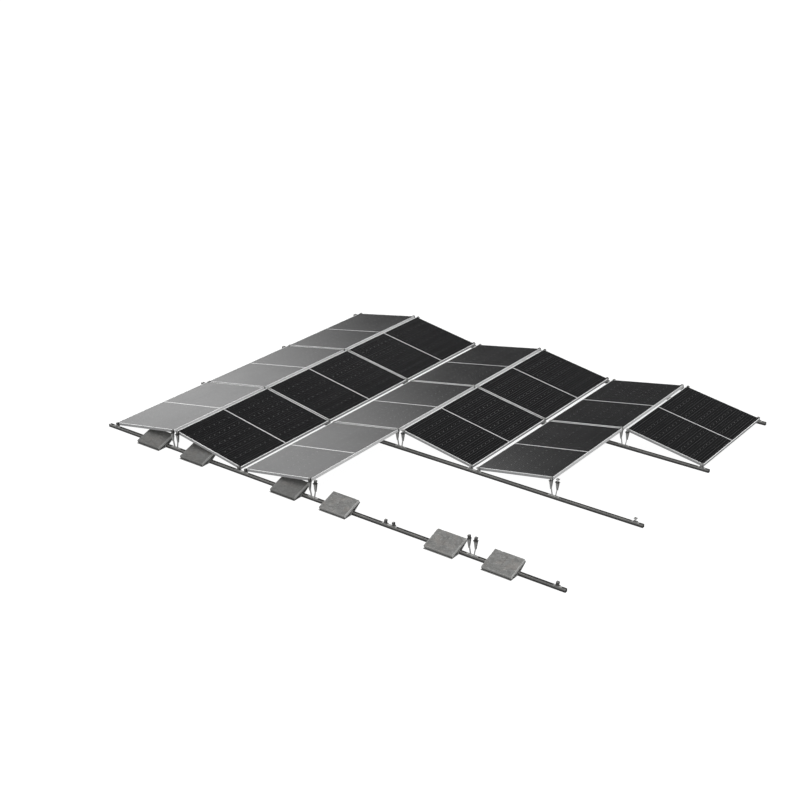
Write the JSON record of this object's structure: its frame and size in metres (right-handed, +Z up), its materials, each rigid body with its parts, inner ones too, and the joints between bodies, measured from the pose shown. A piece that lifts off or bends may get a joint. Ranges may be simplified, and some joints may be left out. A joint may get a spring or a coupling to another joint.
{
  "type": "ballasted flat-roof solar mount",
  "caption": "Stepped east-west array of framed solar modules clamped to low and V-shaped supports on parallel base rails, with concrete slabs in trays on the front rail.",
  "frame": {"origin": "centre of the footprint at the level of the rails' undersides, which is the roof surface", "axes": "+X along the base rails, from row A towards row F; +Y from the ballasted front rail towards the back rail; +Z up"},
  "size_m": [7.2126, 5.4252, 0.2912],
  "materials": {
    "rail_aluminium": "mill finish, dull dark grey",
    "support_aluminium": "mill finish, satin",
    "module_glass": "smooth front glass over near-black cells, silver anodised frame",
    "slab_concrete": "rough grey cast concrete",
    "tray_aluminium": "folded sheet, dull grey"
  },
  "bodies": {
    "root": {"rail_1": "rail_aluminium", "rail_2": "rail_aluminium", "rail_3": "rail_aluminium", "rail_4": "rail_aluminium", "ridge_support_1_1": "support_aluminium", "ridge_support_1_2": "support_aluminium", "ridge_support_1_3": "support_aluminium", "valley_support_1_1": "support_aluminium", "valley_support_1_2": "support_aluminium", "end_support_1_left": "support_aluminium", "end_support_1_right": "support_aluminium", "ridge_support_2_1": "support_aluminium", "ridge_support_2_2": "support_aluminium", "ridge_support_2_3": "support_aluminium", "valley_support_2_1": "support_aluminium", "valley_support_2_2": "support_aluminium", "end_support_2_left": "support_aluminium", "end_support_2_right": "support_aluminium", "ridge_support_3_1": "support_aluminium", "ridge_support_3_2": "support_aluminium", "ridge_support_3_3": "support_aluminium", "valley_support_3_1": "support_aluminium", "valley_support_3_2": "support_aluminium", "end_support_3_left": "support_aluminium", "end_support_3_right": "support_aluminium", "ridge_support_4_1": "support_aluminium", "ridge_support_4_2": "support_aluminium", "ridge_support_4_3": "support_aluminium", "valley_support_4_1": "support_aluminium", "valley_support_4_2": "support_aluminium", "end_support_4_left": "support_aluminium", "end_support_4_right": "support_aluminium", "module_a1": "module_glass", "module_a2": "module_glass", "module_a3": "module_glass", "module_b1": "module_glass", "module_b2": "module_glass", "module_b3": "module_glass", "module_c1": "module_glass", "module_c2": "module_glass", "module_c3": "module_glass", "module_d2": "module_glass", "module_d3": "module_glass", "module_e2": "module_glass", "module_e3": "module_glass", "module_f3": "module_glass", "ballast_slab_1": "slab_concrete", "ballast_tray_1": "tray_aluminium", "ballast_slab_2": "slab_concrete", "ballast_tray_2": "tray_aluminium", "ballast_slab_3": "slab_concrete", "ballast_tray_3": "tray_aluminium", "ballast_slab_4": "slab_concrete", "ballast_tray_4": "tray_aluminium", "ballast_slab_5": "slab_concrete", "ballast_tray_5": "tray_aluminium", "ballast_slab_6": "slab_concrete", "ballast_tray_6": "tray_aluminium"}
  },
  "joints": []
}
